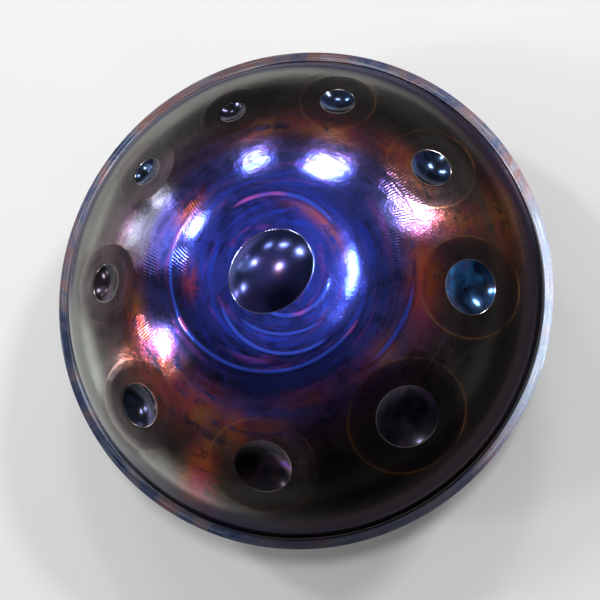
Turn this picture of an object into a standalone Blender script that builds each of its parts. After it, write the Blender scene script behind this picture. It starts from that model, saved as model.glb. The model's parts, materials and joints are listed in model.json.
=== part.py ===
"""Handpan: two pressed steel shells, bonded face to face at their flanges.

Blender 4.5, metres, +Z up. The origin is on the table, under the middle of the pan. The player
sits on the -Y side, so the lowest note is nearest to the player, a little towards +X.

Three pieces: top_shell (central Ding and nine tone fields), bottom_shell (with the sound port)
and flange_adhesive (the bond line between the two flanges).
"""
import math

import bmesh
import bpy
from mathutils import Matrix, Vector

NAME = "handpan"
MM = 0.001

# Whole pan
RIM_RADIUS = 265 * MM
FLANGE_WIDTH = 10 * MM
SHEET = 1.0 * MM
ADHESIVE = 0.6 * MM
GAP = 0.3 * MM
TURN_STEPS = 60

# Outer face of a shell above its flange: radius, height, slope down in degrees, segments to the next
DOME_STATIONS = (
    (0 * MM, 112 * MM, 0, 1),
    (45 * MM, 111.4 * MM, 1.5, 1),
    (72 * MM, 110.4 * MM, 3.5, 2),
    (88 * MM, 107.9 * MM, 14, 3),
    (140 * MM, 90 * MM, 23, 3),
    (186 * MM, 67.6 * MM, 30, 2),
    (228 * MM, 40.2 * MM, 39, 4),
)
WALL_ANGLE = math.radians(68)
WALL_CORNER_RADIUS = 254.5 * MM
FLANGE_FILLET = 4 * MM
FILLET_SEGMENTS = 2

# Ding: an outward dome at the centre, oval, its long axis turned from +X
DING_HALF_LENGTH = 43.6 * MM
DING_HALF_WIDTH = 36.9 * MM
DING_RISE = 15 * MM
DING_TURN = math.radians(24.5)
DING_SEGMENTS = 32

# Tone fields, lowest note first: direction from +X in degrees, distance of the dimple from the
# axis, dimple radius, half length of the field up the slope, half width of the field across it
TONE_FIELDS = (
    (-66.4, 184 * MM, 30.5 * MM, 56 * MM, 58 * MM),
    (-113.9, 184 * MM, 28.0 * MM, 51 * MM, 54 * MM),
    (-22.7, 186 * MM, 26.7 * MM, 53 * MM, 49 * MM),
    (-158.4, 190 * MM, 22.6 * MM, 48 * MM, 47 * MM),
    (16.6, 184 * MM, 20.5 * MM, 47 * MM, 44 * MM),
    (160.7, 184 * MM, 19.7 * MM, 44 * MM, 41 * MM),
    (53.9, 191 * MM, 17.8 * MM, 40 * MM, 38 * MM),
    (121.7, 186 * MM, 15.9 * MM, 37 * MM, 35 * MM),
    (87.6, 184 * MM, 13.8 * MM, 34 * MM, 32 * MM),
)
FIELD_SLOPE = math.radians(29.2)
FIELD_SEGMENTS = 28
DIMPLE_DEPTH_RATIO = 0.3
DIMPLE_SEGMENTS = 20
BALL_RINGS = 22

# Bottom shell: the same dome turned over, with a flat ring to rest on round the sound port. At
# the port the sheet rolls inwards to a short neck
BOTTOM_DEPTH = 109.8 * MM
REST_RING_RADIUS = 80 * MM
BOTTOM_DOME_START = 84 * MM
PORT_RADIUS = 50 * MM
PORT_ROLL = 9 * MM
PORT_NECK_HEIGHT = 26 * MM
PORT_ROLL_SEGMENTS = 4

# Levels, from the table up
BOTTOM_FLANGE_Z = BOTTOM_DEPTH
ADHESIVE_Z = BOTTOM_FLANGE_Z + SHEET + GAP
TOP_FLANGE_Z = ADHESIVE_Z + ADHESIVE + GAP + SHEET

# Working sizes of the tools that shape the sheet
BLANK_DEPTH = 12 * MM
CUTTER_HEIGHT = 30 * MM
WELD = 0.02 * MM


def clear_scene():
    """Remove every object, so that the script starts from nothing."""
    for old in list(bpy.data.objects):
        bpy.data.objects.remove(old, do_unlink=True)


def make_collection(name):
    """Return a new collection under the scene."""
    collection = bpy.data.collections.new(name)
    bpy.context.scene.collection.children.link(collection)
    return collection


def make_material(name, color, roughness, metallic):
    """Return a Principled material."""
    material = bpy.data.materials.new(name)
    material.use_nodes = True
    shader = material.node_tree.nodes["Principled BSDF"]
    shader.inputs["Base Color"].default_value = (*color, 1.0)
    shader.inputs["Roughness"].default_value = roughness
    shader.inputs["Metallic"].default_value = metallic
    material.diffuse_color = (*color, 1.0)
    return material


def hermite(start, end, fraction):
    """Height between two stations, on the cubic that keeps both slopes."""
    span = end[0] - start[0]
    rise_start = -math.tan(math.radians(start[2])) * span
    rise_end = -math.tan(math.radians(end[2])) * span
    t = fraction
    return ((2 * t**3 - 3 * t**2 + 1) * start[1] + (t**3 - 2 * t**2 + t) * rise_start
            + (3 * t**2 - 2 * t**3) * end[1] + (t**3 - t**2) * rise_end)


def shell_profile():
    """Outer face of a plain shell from its crown to its flange edge, as (radius, height)."""
    tangent = FLANGE_FILLET * math.tan(WALL_ANGLE / 2)
    wall_foot = (WALL_CORNER_RADIUS - tangent * math.cos(WALL_ANGLE), tangent * math.sin(WALL_ANGLE),
                 math.degrees(WALL_ANGLE), 0)
    stations = DOME_STATIONS + (wall_foot,)
    points = []
    for start, end in zip(stations, stations[1:]):
        for index in range(start[3]):
            fraction = index / start[3]
            radius = start[0] + (end[0] - start[0]) * fraction
            points.append((radius, hermite(start, end, fraction)))
    centre_radius = WALL_CORNER_RADIUS + tangent
    for index in range(FILLET_SEGMENTS + 1):
        angle = WALL_ANGLE * (1 - index / FILLET_SEGMENTS)
        points.append((centre_radius - FLANGE_FILLET * math.sin(angle),
                       FLANGE_FILLET * (1 - math.cos(angle))))
    points.append((RIM_RADIUS, 0.0))
    return points


def port_profile():
    """Outer face of the sound port, from the rest ring to the top of the neck."""
    points = [(REST_RING_RADIUS, 0.0)]
    for index in range(PORT_ROLL_SEGMENTS + 1):
        angle = math.pi / 2 * index / PORT_ROLL_SEGMENTS
        points.append((PORT_RADIUS + PORT_ROLL * (1 - math.sin(angle)), PORT_ROLL * (1 - math.cos(angle))))
    points.append((PORT_RADIUS, PORT_NECK_HEIGHT))
    return points


def turned(name, profile, collection):
    """Turn an open profile of (radius, z) points, which runs down its outer side, about the axis."""
    mesh = bpy.data.meshes.new(name)
    edges = [(index, index + 1) for index in range(len(profile) - 1)]
    mesh.from_pydata([(radius, 0.0, z) for radius, z in profile], edges, [])
    piece = bpy.data.objects.new(name, mesh)
    collection.objects.link(piece)
    screw = piece.modifiers.new("turn", "SCREW")
    screw.steps = TURN_STEPS
    screw.render_steps = TURN_STEPS
    screw.use_merge_vertices = True
    screw.merge_threshold = WELD
    return piece


def give_thickness(piece):
    """Turn an outer face into sheet metal, inwards."""
    sheet = piece.modifiers.new("sheet", "SOLIDIFY")
    sheet.thickness = SHEET
    sheet.offset = -1.0
    sheet.use_even_offset = True


def evaluated_mesh(piece):
    """Return the piece's mesh with its modifiers applied."""
    bpy.context.view_layer.update()
    depsgraph = bpy.context.evaluated_depsgraph_get()
    return bpy.data.meshes.new_from_object(piece.evaluated_get(depsgraph))


def finish_piece(piece, material):
    """Give a piece its material and smooth shading with sharp creases."""
    piece.data.materials.clear()
    piece.data.materials.append(material)
    piece.data.shade_smooth()
    piece.data.set_sharp_from_angle(angle=math.radians(30))


def add_tool(name, build, matrix, collection):
    """Make a hidden shaping tool from a bmesh builder, placed by a matrix."""
    mesh = bpy.data.meshes.new(name)
    tool_mesh = bmesh.new()
    build(tool_mesh)
    bmesh.ops.transform(tool_mesh, matrix=matrix, verts=tool_mesh.verts)
    tool_mesh.to_mesh(mesh)
    tool_mesh.free()
    tool = bpy.data.objects.new(name, mesh)
    tool.hide_render = True
    tool.display_type = "WIRE"
    collection.objects.link(tool)
    return tool


def combine(piece, tool, operation):
    """Add an exact Boolean with a tool to a piece."""
    boolean = piece.modifiers.new(tool.name, "BOOLEAN")
    boolean.operation = operation
    boolean.object = tool


def dome_height(radius):
    """Height of the plain dome above its flange at a radius inside the last station."""
    for start, end in zip(DOME_STATIONS, DOME_STATIONS[1:]):
        if radius <= end[0]:
            return hermite(start, end, (radius - start[0]) / (end[0] - start[0]))
    raise ValueError("radius is past the dome's last station")


def field_matrix(direction, distance, half_width):
    """Frame of a tone field: X across the slope, Y up the slope, Z out of the flat face.

    The flat face is sunk until the dome meets it at the field's sides.
    """
    angle = math.radians(direction)
    outward = Vector((math.cos(angle), math.sin(angle), 0))
    across = Vector((-math.sin(angle), math.cos(angle), 0))
    normal = outward * math.sin(FIELD_SLOPE) + Vector((0, 0, 1)) * math.cos(FIELD_SLOPE)
    uphill = normal.cross(across)
    across_bend = distance / math.sin(FIELD_SLOPE)
    sink = half_width**2 / (2 * across_bend)
    centre = outward * distance + Vector((0, 0, TOP_FLANGE_Z + dome_height(distance))) - normal * sink
    matrix = Matrix.Identity(4)
    for column, axis in enumerate((across, uphill, normal, centre)):
        for row in range(3):
            matrix[row][column] = axis[row]
    return matrix


def field_tool(index, field, collection):
    """Oval press tool that flattens one tone field."""
    direction, distance, _, half_length, half_width = field
    frame = field_matrix(direction, distance, half_width)
    place = frame @ Matrix.Translation((0, 0, CUTTER_HEIGHT / 2)) @ Matrix.Diagonal(
        (half_width, half_length, 1, 1))

    def build(tool_mesh):
        bmesh.ops.create_cone(tool_mesh, cap_ends=True, segments=FIELD_SEGMENTS, radius1=1,
                              radius2=1, depth=CUTTER_HEIGHT)
    return add_tool(f"field_tool_{index}", build, place, collection)


def dimple_tool(index, field, collection):
    """Ball that presses one round dimple into the middle of its field."""
    direction, distance, radius, _, half_width = field
    depth = DIMPLE_DEPTH_RATIO * radius
    ball_radius = (radius**2 + depth**2) / (2 * depth)
    place = field_matrix(direction, distance, half_width) @ Matrix.Translation((0, 0, ball_radius - depth))

    def build(tool_mesh):
        bmesh.ops.create_uvsphere(tool_mesh, u_segments=DIMPLE_SEGMENTS, v_segments=BALL_RINGS,
                                  radius=ball_radius)
    return add_tool(f"dimple_tool_{index}", build, place, collection)


def ding_tool(collection):
    """Oval ball whose cap is the Ding's outward dome."""
    mean_radius = math.sqrt(DING_HALF_LENGTH * DING_HALF_WIDTH)
    ball_radius = (mean_radius**2 + DING_RISE**2) / (2 * DING_RISE)
    level = TOP_FLANGE_Z + dome_height(mean_radius)
    place = (Matrix.Translation((0, 0, level + DING_RISE - ball_radius))
             @ Matrix.Rotation(DING_TURN, 4, "Z")
             @ Matrix.Diagonal((DING_HALF_LENGTH / mean_radius, DING_HALF_WIDTH / mean_radius, 1, 1)))

    def build(tool_mesh):
        bmesh.ops.create_uvsphere(tool_mesh, u_segments=DING_SEGMENTS, v_segments=BALL_RINGS,
                                  radius=ball_radius)
    return add_tool("ding_tool", build, place, collection)


def make_top_shell(collection, tools, material):
    """Shape the outer face on a solid blank, drop the blank's base, then give it thickness."""
    profile = [(radius, TOP_FLANGE_Z + height) for radius, height in shell_profile()]
    base_z = TOP_FLANGE_Z - BLANK_DEPTH
    profile += [(RIM_RADIUS, base_z), (0.0, base_z)]
    blank = turned("top_shell_blank", profile, tools)
    for index, field in enumerate(TONE_FIELDS, start=1):
        combine(blank, field_tool(index, field, tools), "DIFFERENCE")
        combine(blank, dimple_tool(index, field, tools), "DIFFERENCE")
    combine(blank, ding_tool(tools), "UNION")
    face_mesh = evaluated_mesh(blank)
    bpy.data.objects.remove(blank, do_unlink=True)

    shaping = bmesh.new()
    shaping.from_mesh(face_mesh)
    below = [face for face in shaping.faces if face.calc_center_median().z < TOP_FLANGE_Z - WELD]
    bmesh.ops.delete(shaping, geom=below, context="FACES")
    bmesh.ops.remove_doubles(shaping, verts=shaping.verts, dist=WELD)
    shaping.to_mesh(face_mesh)
    shaping.free()
    face_mesh.name = "top_shell"

    shell = bpy.data.objects.new("top_shell", face_mesh)
    collection.objects.link(shell)
    finish_piece(shell, material)
    give_thickness(shell)
    return shell


def make_bottom_shell(collection, material):
    """The dome turned over, with the rest ring and the port in place of its crown."""
    dome = [(radius, BOTTOM_FLANGE_Z - height) for radius, height in shell_profile()
            if radius > BOTTOM_DOME_START]
    shell = turned("bottom_shell", dome[::-1] + port_profile(), collection)
    finish_piece(shell, material)
    give_thickness(shell)
    return shell


def make_flange_adhesive(collection, material):
    """Thin bond line between the flanges, just short of their outer edge."""
    outer = RIM_RADIUS - 0.5 * MM
    inner = RIM_RADIUS - FLANGE_WIDTH + 2 * MM
    top = ADHESIVE_Z + ADHESIVE
    section = [(inner, top), (outer, top), (outer, ADHESIVE_Z), (inner, ADHESIVE_Z), (inner, top)]
    ring = turned("flange_adhesive", section, collection)
    finish_piece(ring, material)
    return ring


def main():
    """Build the three pieces."""
    clear_scene()
    pieces = make_collection(NAME)
    tools = make_collection(NAME + "_tools")
    top_steel = make_material("heat_tinted_steel", (0.10, 0.06, 0.16), 0.18, 1.0)
    bottom_steel = make_material("heat_tinted_steel_bottom", (0.12, 0.07, 0.13), 0.25, 1.0)
    adhesive = make_material("adhesive", (0.03, 0.03, 0.035), 0.6, 0.0)
    make_top_shell(pieces, tools, top_steel)
    make_bottom_shell(pieces, bottom_steel)
    make_flange_adhesive(pieces, adhesive)


main()
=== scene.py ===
"""Looks of the handpan: fine sheet-metal surfaces and heat-tinted steel, in a plain studio."""
import json
import math
from collections import namedtuple

import bpy
import numpy as np
from mathutils import Matrix, Vector
from mathutils.geometry import delaunay_2d_cdt


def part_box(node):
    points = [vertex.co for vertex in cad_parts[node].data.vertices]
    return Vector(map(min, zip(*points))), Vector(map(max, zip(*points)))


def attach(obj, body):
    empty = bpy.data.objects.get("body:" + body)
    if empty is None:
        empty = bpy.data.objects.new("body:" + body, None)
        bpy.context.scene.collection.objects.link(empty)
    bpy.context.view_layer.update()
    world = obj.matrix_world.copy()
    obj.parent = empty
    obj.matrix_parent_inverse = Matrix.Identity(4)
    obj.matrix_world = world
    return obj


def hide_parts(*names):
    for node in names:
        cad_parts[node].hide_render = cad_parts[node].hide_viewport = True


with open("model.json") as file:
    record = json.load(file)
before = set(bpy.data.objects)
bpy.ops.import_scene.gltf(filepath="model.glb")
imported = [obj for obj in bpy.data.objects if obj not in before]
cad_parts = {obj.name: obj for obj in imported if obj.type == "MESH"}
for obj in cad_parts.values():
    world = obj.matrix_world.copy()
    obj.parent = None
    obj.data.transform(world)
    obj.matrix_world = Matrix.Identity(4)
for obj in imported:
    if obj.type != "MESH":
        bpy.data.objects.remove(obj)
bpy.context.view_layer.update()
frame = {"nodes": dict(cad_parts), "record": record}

MM = 0.001

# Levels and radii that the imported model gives
MOUNT = {mount["name"]: mount["pos_m"] for mount in frame["record"]["mounts"]}
TOP_FLANGE_Z = MOUNT["flange_top_face"][2]
BOTTOM_FLANGE_Z = MOUNT["flange_bottom_face"][2]
RIM_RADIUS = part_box("top_shell")[1][0]
TOP_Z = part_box("top_shell")[1][2]

# Thickness of both shells
SHEET = 1.0 * MM

# Outer face of a shell: radius, height above the flange, slope down in degrees
Station = namedtuple("Station", "radius height slope")
DOME_STATIONS = (
    Station(0 * MM, 112 * MM, 0),
    Station(45 * MM, 111.4 * MM, 1.5),
    Station(72 * MM, 110.4 * MM, 3.5),
    Station(88 * MM, 107.9 * MM, 14),
    Station(140 * MM, 90 * MM, 23),
    Station(186 * MM, 67.6 * MM, 30),
    Station(228 * MM, 40.2 * MM, 39),
)
WALL_ANGLE = math.radians(68)
WALL_CORNER_RADIUS = 254.5 * MM
FLANGE_FILLET = 4 * MM
DOME_SMOOTHING = 4 * MM
TABLE_STEP = 0.1 * MM
WALL_START = 238 * MM

# Ding: an outward oval dome
DING_HALF_LENGTH = 43.6 * MM
DING_HALF_WIDTH = 36.9 * MM
DING_TURN = math.radians(24.5)
# How sharply the Ding's foot and the dimples' edges turn
CREASE = 0.45 * MM

# Hammered rings round the Ding, each an arc from start to end in degrees
Ring = namedtuple("Ring", "middle_x middle_y radius height half_width start end")
RINGS = (
    Ring(-1 * MM, 5 * MM, 99 * MM, 0.20 * MM, 1.5 * MM, 120, 325),
    Ring(9 * MM, -18 * MM, 64 * MM, 0.32 * MM, 1.5 * MM, 160, 305),
    Ring(12 * MM, -2 * MM, 62 * MM, 0.22 * MM, 1.3 * MM, 195, 302),
    Ring(14 * MM, -10 * MM, 38 * MM, 0.30 * MM, 1.7 * MM, 205, 350),
    Ring(3 * MM, 6 * MM, 69 * MM, 0.24 * MM, 1.8 * MM, 0, 120),
    Ring(20 * MM, -6 * MM, 112 * MM, 0.22 * MM, 1.6 * MM, 275, 350),
)
# Degrees: an arc's fade at each end, and the margin before its start where turns wrap round
RING_FADE = 30
RING_MARGIN = 60

# Point of the plan that the vivid blue streaks turn about
STREAK_MIDDLE = (14 * MM, -9 * MM, 0.0)

# Patches of warm oxide: direction in degrees, radius, half length round and half width in
# millimetres, strength
WARM_PATCHES = (
    (176, 147, 34, 9, 0.9),
    (-158, 154, 34, 20, 1.0),
    (-142, 146, 32, 18, 0.65),
    (-132, 196, 14, 24, 0.8),
    (-124, 152, 12, 16, 0.7),
    (-113, 146, 20, 8, 0.3),
    (-92, 124, 26, 7, 0.35),
    (-60, 128, 26, 9, 0.5),
    (-22, 143, 34, 12, 1.0),
    (-3, 180, 14, 24, 0.5),
    (22, 167, 28, 10, 0.9),
    (-4, 220, 34, 12, 0.35),
    (54, 156, 34, 12, 0.6),
    (78, 152, 24, 9, 0.5),
    (121, 108, 16, 8, 0.7),
    (166, 80, 12, 6, 0.6),
    (26, 68, 26, 5, 0.6),
)

# Patches of short tool strokes: direction in degrees, radius, half length round, half width and
# distance between strokes in millimetres, lean from the radius in degrees
STROKE_PATCHES = (
    (-76, 85, 9, 4, 3.2, -20),
    (-176, 70, 8, 6, 3.0, 25),
    (158, 93, 22, 9, 2.9, 30),
    (115, 106, 16, 7, 2.9, 15),
    (98, 95, 12, 5, 3.0, 10),
    (68, 76, 12, 5, 2.9, 0),
    (-10, 117, 20, 7, 2.8, 0),
    (12, 136, 24, 8, 2.8, 5),
    (-54, 121, 10, 6, 3.0, 10),
    (-174, 143, 30, 8, 2.8, -10),
    (18, 151, 34, 7, 2.8, 0),
    (-28, 140, 20, 7, 2.8, 0),
    (148, 126, 26, 8, 3.0, 20),
)

# Tone fields, lowest note first: direction from +X in degrees, distance of the dimple from the
# axis, half length up the slope, half width across it, and how blue the dimple's oxide is
ToneField = namedtuple("ToneField", "direction distance dimple_radius half_length half_width blue")
TONE_FIELDS = (
    ToneField(-66.4, 184 * MM, 30.5 * MM, 56 * MM, 58 * MM, 0.05),
    ToneField(-113.9, 184 * MM, 28.0 * MM, 51 * MM, 54 * MM, 0.0),
    ToneField(-22.7, 186 * MM, 26.7 * MM, 53 * MM, 49 * MM, 1.0),
    ToneField(-158.4, 190 * MM, 22.6 * MM, 48 * MM, 47 * MM, 0.15),
    ToneField(16.6, 184 * MM, 20.5 * MM, 47 * MM, 44 * MM, 0.4),
    ToneField(160.7, 184 * MM, 19.7 * MM, 44 * MM, 41 * MM, 0.0),
    ToneField(53.9, 191 * MM, 17.8 * MM, 40 * MM, 38 * MM, 0.35),
    ToneField(121.7, 186 * MM, 15.9 * MM, 37 * MM, 35 * MM, 0.3),
    ToneField(87.6, 184 * MM, 13.8 * MM, 34 * MM, 32 * MM, 0.1),
)
FIELD_SLOPE = math.radians(29.2)
# Shares of the outline between which a face's flatness fades
FIELD_EDGE = (0.62, 1.18)
FIELD_FLATNESS = 0.60
FIELD_RIDGE = 0.11 * MM
FIELD_RIDGE_WIDTH = 1.6 * MM
DIMPLE_DEPTH_RATIO = 0.3
# A field shapes only what is this near to its plane, and within this share of its half length
FIELD_REACH = 60 * MM
FIELD_MARGIN = 1.3
# Stored distance, in millimetres, of points that no field is near
FAR_AWAY = 200.0

# Bottom shell, with the radii of its flange and fillet that its mesh follows
FLANGE_RADII = (262 * MM, 259 * MM)
FILLET_RADII_MM = (257.2, 252)
SLOPE_START_MM = 250
BOTTOM_DOME_START = 84 * MM
REST_RING_RADIUS = 80 * MM
PORT_RADIUS = 50 * MM
PORT_ROLL = 9 * MM
PORT_NECK_HEIGHT = 26 * MM
BOTTOM_STEPS = 360

# Hammer work: gentle swell of the sheet, as a sum of waves of equal steepness
SWELL_WAVES = 72
SWELL_SLOPE = 0.011
SWELL_LENGTHS = (11 * MM, 60 * MM)
SWELL_END = (240 * MM, 252 * MM)
SEED = 7

# Mesh of the top shell: rings about the axis, closer where the hammered rings are, and rings
# about the Ding and the dimples, with the steps from ring to ring and the spacing along a ring
MESH_START = 3 * MM
MESH_END = 244 * MM
MESH_STEP = 2.6 * MM
MESH_SPACING = 3.0 * MM
RINGED_BAND = (38 * MM, 128 * MM)
RINGED_STEP = 1.7 * MM
# Rings at the foot of the wall and on the flange, crowded in the fillet
FOOT_RADII_MM = (246, 248, 250, 251.5, 252.6, 253.4, 254.2, 255, 255.8, 256.6, 257.4, 259.5, 262.5)
FOOT_SPACING = 2.6 * MM
# Rings across the edge of the Ding and of each dimple
PRESSED_OFFSETS_MM = (-2.6, -1.7, -1.0, -0.5, 0, 0.5, 1.0, 1.7, 2.6)
DING_STEP = 2.0 * MM
DING_SPACING = 1.6 * MM
DING_REACH = 4.5 * MM
DING_CLEARANCE = 6 * MM
DIMPLE_STEP = 1.6 * MM
DIMPLE_SPACING = 1.4 * MM
DIMPLE_REACH = 4.0 * MM
DIMPLE_CLEARANCE = 5.2 * MM
# Radians of turn per metre of radius, so that neighbouring rings don't line up
PATCH_TWIST = 900
MERGE_DISTANCE_MM = 1e-4
# Twice the area, in square metres, below which a triangle is left out
SMALLEST_AREA = 1e-12
NORMAL_STEP = 0.15 * MM

# Camera, at the photograph's angle
CAMERA_AZIMUTH = math.radians(30.8)
CAMERA_ELEVATION = math.radians(75.7)
CAMERA_DISTANCE = 1.0
CAMERA_TARGET = Vector((2.9 * MM, -11.6 * MM, TOP_FLANGE_Z))
# Direction on the floor, from +X, that points up in the picture
CAMERA_UP = math.radians(71.5)
CAMERA_LENS = 57.05
CAMERA_SENSOR = 36.0


# ---------------------------------------- surface shape

def smooth_step(low, high, value):
    """0 below low, 1 above high, smooth between."""
    t = np.clip((value - low) / (high - low), 0.0, 1.0)
    return t * t * (3 - 2 * t)


def hermite(start, end, radius):
    """Height between two stations, on the cubic that keeps both slopes."""
    span = end.radius - start.radius
    t = (radius - start.radius) / span
    rise_start = -math.tan(math.radians(start.slope)) * span
    rise_end = -math.tan(math.radians(end.slope)) * span
    return ((2 * t**3 - 3 * t**2 + 1) * start.height + (t**3 - 2 * t**2 + t) * rise_start
            + (3 * t**2 - 2 * t**3) * end.height + (t**3 - t**2) * rise_end)


def smoothed(height):
    """Heights in steps along the radius, blurred as if mirrored at the axis."""
    reach = int(3 * DOME_SMOOTHING / TABLE_STEP)
    offsets = np.arange(-reach, reach + 1) * TABLE_STEP
    kernel = np.exp(-0.5 * (offsets / DOME_SMOOTHING)**2)
    kernel /= kernel.sum()
    mirrored = np.concatenate([height[reach:0:-1], height, np.zeros(reach)])
    return np.convolve(mirrored, kernel, mode="valid")


def dome_table():
    """Radius and height of the plain dome in fine steps, its station joints smoothed away."""
    tangent = FLANGE_FILLET * math.tan(WALL_ANGLE / 2)
    foot = Station(WALL_CORNER_RADIUS - tangent * math.cos(WALL_ANGLE),
                   tangent * math.sin(WALL_ANGLE), math.degrees(WALL_ANGLE))
    stations = DOME_STATIONS + (foot,)
    radius = np.arange(0, RIM_RADIUS + 5 * MM, TABLE_STEP)
    height = np.zeros_like(radius)
    for start, end in zip(stations, stations[1:]):
        inside = (radius >= start.radius) & (radius <= end.radius)
        height[inside] = hermite(start, end, radius[inside])
    fillet_centre = WALL_CORNER_RADIUS + tangent
    fillet = (radius > foot.radius) & (radius < fillet_centre)
    drop = np.clip(FLANGE_FILLET**2 - (fillet_centre - radius[fillet])**2, 0, None)
    height[fillet] = FLANGE_FILLET - np.sqrt(drop)
    share = smooth_step(WALL_START - 8 * MM, WALL_START, radius)
    return radius, smoothed(height) * (1 - share) + height * share


DOME_RADIUS, DOME_HEIGHT = dome_table()


def dome_height(radius):
    """Height of the plain dome above its flange."""
    return np.interp(radius, DOME_RADIUS, DOME_HEIGHT)


DING_RISE = TOP_Z - TOP_FLANGE_Z - float(dome_height(0.0))
DING_MEAN = math.sqrt(DING_HALF_LENGTH * DING_HALF_WIDTH)


def field_frame(field):
    """Centre, across, uphill and normal of a tone field's flat face."""
    angle = math.radians(field.direction)
    outward = np.array((math.cos(angle), math.sin(angle), 0))
    across = np.array((-math.sin(angle), math.cos(angle), 0))
    normal = outward * math.sin(FIELD_SLOPE) + np.array((0, 0, math.cos(FIELD_SLOPE)))
    uphill = np.cross(normal, across)
    sink = field.half_width**2 * math.sin(FIELD_SLOPE) / (2 * field.distance)
    level = np.array((0, 0, TOP_FLANGE_Z + float(dome_height(field.distance))))
    return outward * field.distance + level - normal * sink, across, uphill, normal


FIELD_FRAMES = [field_frame(field) for field in TONE_FIELDS]


def rounded_cap(distance, radius, depth):
    """Depth of a spherical cap at a distance from its centre, its edge eased."""
    ball = (radius**2 + depth**2) / (2 * depth)
    inside = np.clip(distance, 0, radius)
    cap = np.sqrt(ball**2 - inside**2) - (ball - depth)
    rim_slope = radius / math.sqrt(ball**2 - radius**2)
    cap = np.where(distance > radius, -(distance - radius) * rim_slope, cap)
    eased = 0.5 * (cap + np.sqrt(cap**2 + CREASE**2))
    return eased - 0.5 * (np.sqrt(depth**2 + CREASE**2) - depth)


def plain_top(x, y):
    """Plain dome over the plan, as points."""
    return np.stack([x, y, TOP_FLANGE_Z + dome_height(np.hypot(x, y))], axis=-1)


def ding_distance(x, y):
    """Distance from the Ding's middle, scaled so that its oval edge lies at its mean radius."""
    along = x * math.cos(DING_TURN) + y * math.sin(DING_TURN)
    side = -x * math.sin(DING_TURN) + y * math.cos(DING_TURN)
    return np.hypot(along / DING_HALF_LENGTH, side / DING_HALF_WIDTH) * DING_MEAN


def ring_profile(x, y, arc):
    """A hammered ring's strength over the plan: 1 on its crest, fading at its ends."""
    east, north = x - arc.middle_x, y - arc.middle_y
    turn = np.degrees(np.arctan2(north, east)) % 360
    turn = np.where(turn < arc.start - RING_MARGIN, turn + 360, turn)
    fade_in = smooth_step(arc.start, arc.start + RING_FADE, turn)
    fade_out = smooth_step(arc.end - RING_FADE, arc.end, turn)
    distance = np.hypot(east, north) - arc.radius
    return fade_in * (1 - fade_out) * np.exp(-0.5 * (distance / arc.half_width)**2)


def shaped_top(x, y):
    """The top shell's outer face: dome, flattened fields, dimples, Ding and its rings."""
    points = plain_top(x, y)
    for field, (centre, across, uphill, normal) in zip(TONE_FIELDS, FIELD_FRAMES):
        offset = points - centre
        u, v, height = offset @ across, offset @ uphill, offset @ normal
        distance = np.hypot(u, v)
        near = (np.abs(height) < FIELD_REACH) & (distance < FIELD_MARGIN * field.half_length)
        oval = np.hypot(u / field.half_width, v / field.half_length)
        flat = FIELD_FLATNESS * (1 - smooth_step(*FIELD_EDGE, oval)) * near
        past_outline = (oval - 1) * field.half_width / FIELD_RIDGE_WIDTH
        ridge = FIELD_RIDGE * np.exp(-0.5 * past_outline**2) * near
        depth = DIMPLE_DEPTH_RATIO * field.dimple_radius
        press = rounded_cap(distance, field.dimple_radius, depth) * near
        points = points - normal * (height * flat + press - ridge)[..., None]
    oval_radius = ding_distance(x, y)
    ding = rounded_cap(oval_radius, DING_MEAN, DING_RISE)
    points[..., 2] += ding * (oval_radius < DING_MEAN + 20 * MM)
    outside = smooth_step(DING_MEAN + 1 * MM, DING_MEAN + 4 * MM, oval_radius)
    for arc in RINGS:
        points[..., 2] += arc.height * ring_profile(x, y, arc) * outside
    return points


def normals_of(surface, x, y, step):
    """Unit normals of a surface over the plan, by central differences."""
    east = surface(x + step, y) - surface(x - step, y)
    north = surface(x, y + step) - surface(x, y - step)
    normal = np.cross(east, north)
    return normal / np.linalg.norm(normal, axis=-1, keepdims=True)


RANDOM = np.random.default_rng(SEED)
WAVE_TURN = RANDOM.uniform(0, 2 * math.pi, SWELL_WAVES)
WAVE_LENGTH = RANDOM.uniform(*SWELL_LENGTHS, SWELL_WAVES)
WAVE_PHASE = RANDOM.uniform(0, 2 * math.pi, SWELL_WAVES)
FAN_WAVES = [(count, RANDOM.uniform(0, 2 * math.pi)) for count in (1, 2, 3, 5, 7)]


def swell(x, y):
    """Gentle unevenness of hammered sheet."""
    total = np.zeros_like(x)
    for turn, length, phase in zip(WAVE_TURN, WAVE_LENGTH, WAVE_PHASE):
        count = 2 * math.pi / length
        total += np.cos((x * math.cos(turn) + y * math.sin(turn)) * count + phase) / count
    fade = 1 - smooth_step(*SWELL_END, np.hypot(x, y))
    return total * SWELL_SLOPE * math.sqrt(2 / SWELL_WAVES) * fade


def top_face(x, y):
    """The finished outer face of the top shell."""
    calm = smooth_step(DING_MEAN - 2 * MM, DING_MEAN + 6 * MM, ding_distance(x, y))
    points = shaped_top(x, y)
    points[..., 2] += swell(x, y) * calm
    return points


# ---------------------------------------- meshes

def ring(radius, spacing, turn=0.0):
    """Evenly spaced points on a circle, as an (n, 2) array."""
    count = max(6, int(round(2 * math.pi * radius / spacing)))
    angle = turn + np.arange(count) * 2 * math.pi / count
    return np.stack([radius * np.cos(angle), radius * np.sin(angle)], axis=-1)


def edge_distances(radius, inner_step, reach):
    """Ring radii for a pressed circle, crowded at its edge."""
    edge = np.array(PRESSED_OFFSETS_MM + (reach / MM,)) * MM
    inner = np.arange(inner_step, radius - 3 * MM, inner_step)
    return np.concatenate([inner, radius + edge])


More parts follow.
